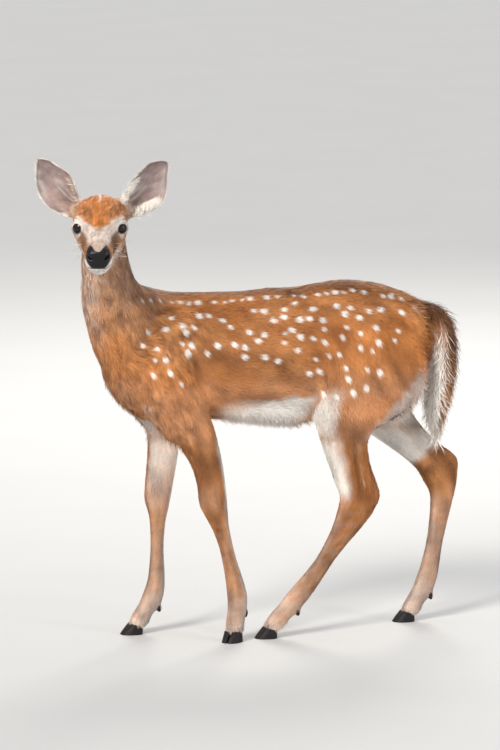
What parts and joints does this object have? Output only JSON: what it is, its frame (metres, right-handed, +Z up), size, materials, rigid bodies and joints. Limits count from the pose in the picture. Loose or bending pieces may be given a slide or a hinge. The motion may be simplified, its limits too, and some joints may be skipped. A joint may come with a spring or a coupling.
{
  "type": "white-tailed deer fawn",
  "caption": "Life-size standing white-tailed deer fawn in its spotted coat, one near foreleg back, head turned to its left with both ears spread.",
  "frame": {"origin": "middle of the model's box, on the floor under the trunk", "axes": "+Z up, -X the way the body faces, -Y the animal's left side"},
  "size_m": [0.8032, 0.2954, 0.8788],
  "materials": {
    "coat_brown": "short reddish-brown summer coat",
    "ear_coat": "pale thin ear hair",
    "eye_black": "wet gloss",
    "hoof_horn": "dull black horn"
  },
  "bodies": {
    "root": {"ear_left": "ear_coat", "ear_right": "ear_coat", "eye_left": "eye_black", "eye_right": "eye_black", "head": "coat_brown", "hoof_front_left": "hoof_horn", "hoof_front_right": "hoof_horn", "hoof_hind_left": "hoof_horn", "hoof_hind_right": "hoof_horn", "leg_front_left_foot": "coat_brown", "leg_front_left_forearm": "coat_brown", "leg_front_left_shank": "coat_brown", "leg_front_left_shoulder": "coat_brown", "leg_front_right_foot": "coat_brown", "leg_front_right_forearm": "coat_brown", "leg_front_right_shank": "coat_brown", "leg_front_right_shoulder": "coat_brown", "leg_hind_left_foot": "coat_brown", "leg_hind_left_gaskin": "coat_brown", "leg_hind_left_shank": "coat_brown", "leg_hind_left_thigh": "coat_brown", "leg_hind_right_foot": "coat_brown", "leg_hind_right_gaskin": "coat_brown", "leg_hind_right_shank": "coat_brown", "leg_hind_right_thigh": "coat_brown", "neck": "coat_brown", "tail": "coat_brown", "trunk": "coat_brown"}
  },
  "joints": []
}
